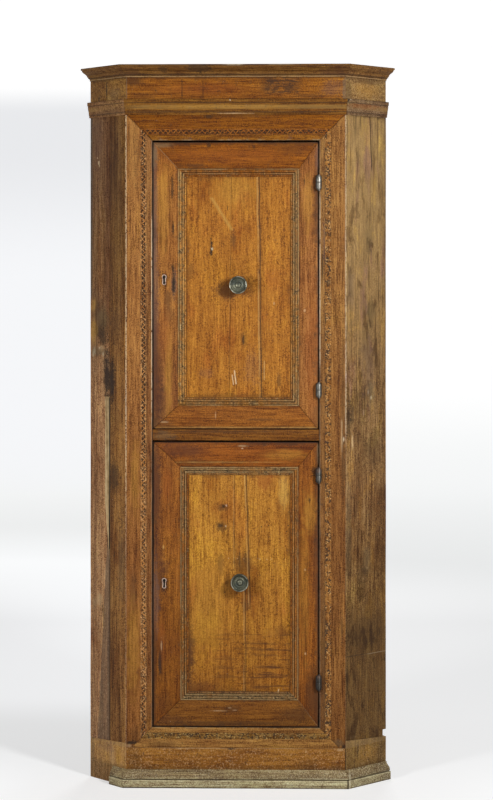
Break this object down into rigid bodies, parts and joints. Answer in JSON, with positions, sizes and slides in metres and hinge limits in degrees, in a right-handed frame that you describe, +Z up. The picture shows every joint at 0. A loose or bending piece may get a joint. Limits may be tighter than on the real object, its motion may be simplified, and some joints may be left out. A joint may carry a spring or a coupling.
{
  "type": "corner cupboard",
  "caption": "Tall corner cupboard with canted sides, moulded crown and base, and panelled doors with turned knobs, locks and olive hinges, one above the other.",
  "frame": {"origin": "on the floor, in the middle of the cupboard's box: half its width and half its depth", "axes": "+Z up, +X to the right as seen from the front, +Y back towards the corner of the room; the doors face -Y"},
  "size_m": [0.8854, 0.566, 2],
  "materials": {
    "frame_wood": "old waxed softwood, warm orange-brown, worn pale at the edges and dark in the joints",
    "panel_wood": "waxed softwood boards, golden brown, with long upright grain",
    "side_wood": "old stained softwood, greyish brown, scratched and chipped",
    "trim_wood": "thin moulding with greyish old paint rubbed down to the wood",
    "cornice_wood": "dark waxed softwood mouldings with worn edges",
    "base_wood": "moulding with worn grey-yellow paint, rubbed through at the edges",
    "raw_wood": "bare sawn softwood, dusty brown, never painted",
    "brass": "dull old brass with a grey-green film, bright where it is touched",
    "iron": "dark grey forged iron, smooth from use"
  },
  "bodies": {
    "carcass": {"left_stile": "frame_wood", "right_stile": "frame_wood", "top_rail": "frame_wood", "middle_rail": "frame_wood", "bottom_rail": "frame_wood", "frieze_front": "frame_wood", "plinth_front": "frame_wood", "left_cant_front_plank": "side_wood", "left_cant_rear_plank": "side_wood", "right_cant_board": "side_wood", "plinth_left": "side_wood", "plinth_right": "side_wood", "frieze_left": "cornice_wood", "frieze_right": "cornice_wood", "crown_front": "cornice_wood", "crown_left": "cornice_wood", "crown_right": "cornice_wood", "cornice_front": "cornice_wood", "cornice_left": "cornice_wood", "cornice_right": "cornice_wood", "base_moulding_front": "base_wood", "base_moulding_right": "base_wood", "base_moulding_left": "base_wood", "left_back_plank_front": "raw_wood", "left_back_plank_rear": "raw_wood", "right_back_plank_rear": "raw_wood", "right_back_plank_front": "raw_wood", "top_board": "raw_wood", "bottom_board": "raw_wood", "middle_board": "raw_wood", "upper_shelf": "raw_wood", "lower_shelf": "raw_wood", "upper_door_top_hinge_frame_half": "iron", "upper_door_bottom_hinge_frame_half": "iron", "lower_door_top_hinge_frame_half": "iron", "lower_door_bottom_hinge_frame_half": "iron"},
    "upper_door": {"upper_door_lock_stile": "frame_wood", "upper_door_hinge_stile": "frame_wood", "upper_door_top_rail": "frame_wood", "upper_door_bottom_rail": "frame_wood", "upper_door_panel": "panel_wood", "upper_door_panel_moulding": "trim_wood", "upper_door_knob": "brass", "upper_door_keyhole_liner": "brass", "upper_door_lock_case": "iron", "upper_door_top_hinge_door_half": "iron", "upper_door_bottom_hinge_door_half": "iron"},
    "lower_door": {"lower_door_lock_stile": "frame_wood", "lower_door_hinge_stile": "frame_wood", "lower_door_top_rail": "frame_wood", "lower_door_bottom_rail": "frame_wood", "lower_door_panel": "panel_wood", "lower_door_panel_moulding": "trim_wood", "lower_door_knob": "brass", "lower_door_keyhole_liner": "brass", "lower_door_lock_case": "iron", "lower_door_top_hinge_door_half": "iron", "lower_door_bottom_hinge_door_half": "iron"},
    "upper_lock_bolt": {"upper_door_lock_bolt": "iron"},
    "lower_lock_bolt": {"lower_door_lock_bolt": "iron"}
  },
  "joints": [
    {"name": "upper_door_hinge", "type": "hinge", "parent": "carcass", "child": "upper_door", "pos_m": [0.22995, -0.2569, 1.389], "axis": [0, 0, 1], "range_deg": [0, 150]},
    {"name": "lower_door_hinge", "type": "hinge", "parent": "carcass", "child": "lower_door", "pos_m": [0.22995, -0.2569, 0.5615], "axis": [0, 0, 1], "range_deg": [0, 150]},
    {"name": "upper_bolt_slide", "type": "slide", "parent": "upper_door", "child": "upper_lock_bolt", "axis": [-1, 0, 0], "range_m": [0, 0.01]},
    {"name": "lower_bolt_slide", "type": "slide", "parent": "lower_door", "child": "lower_lock_bolt", "axis": [-1, 0, 0], "range_m": [0, 0.01]}
  ]
}
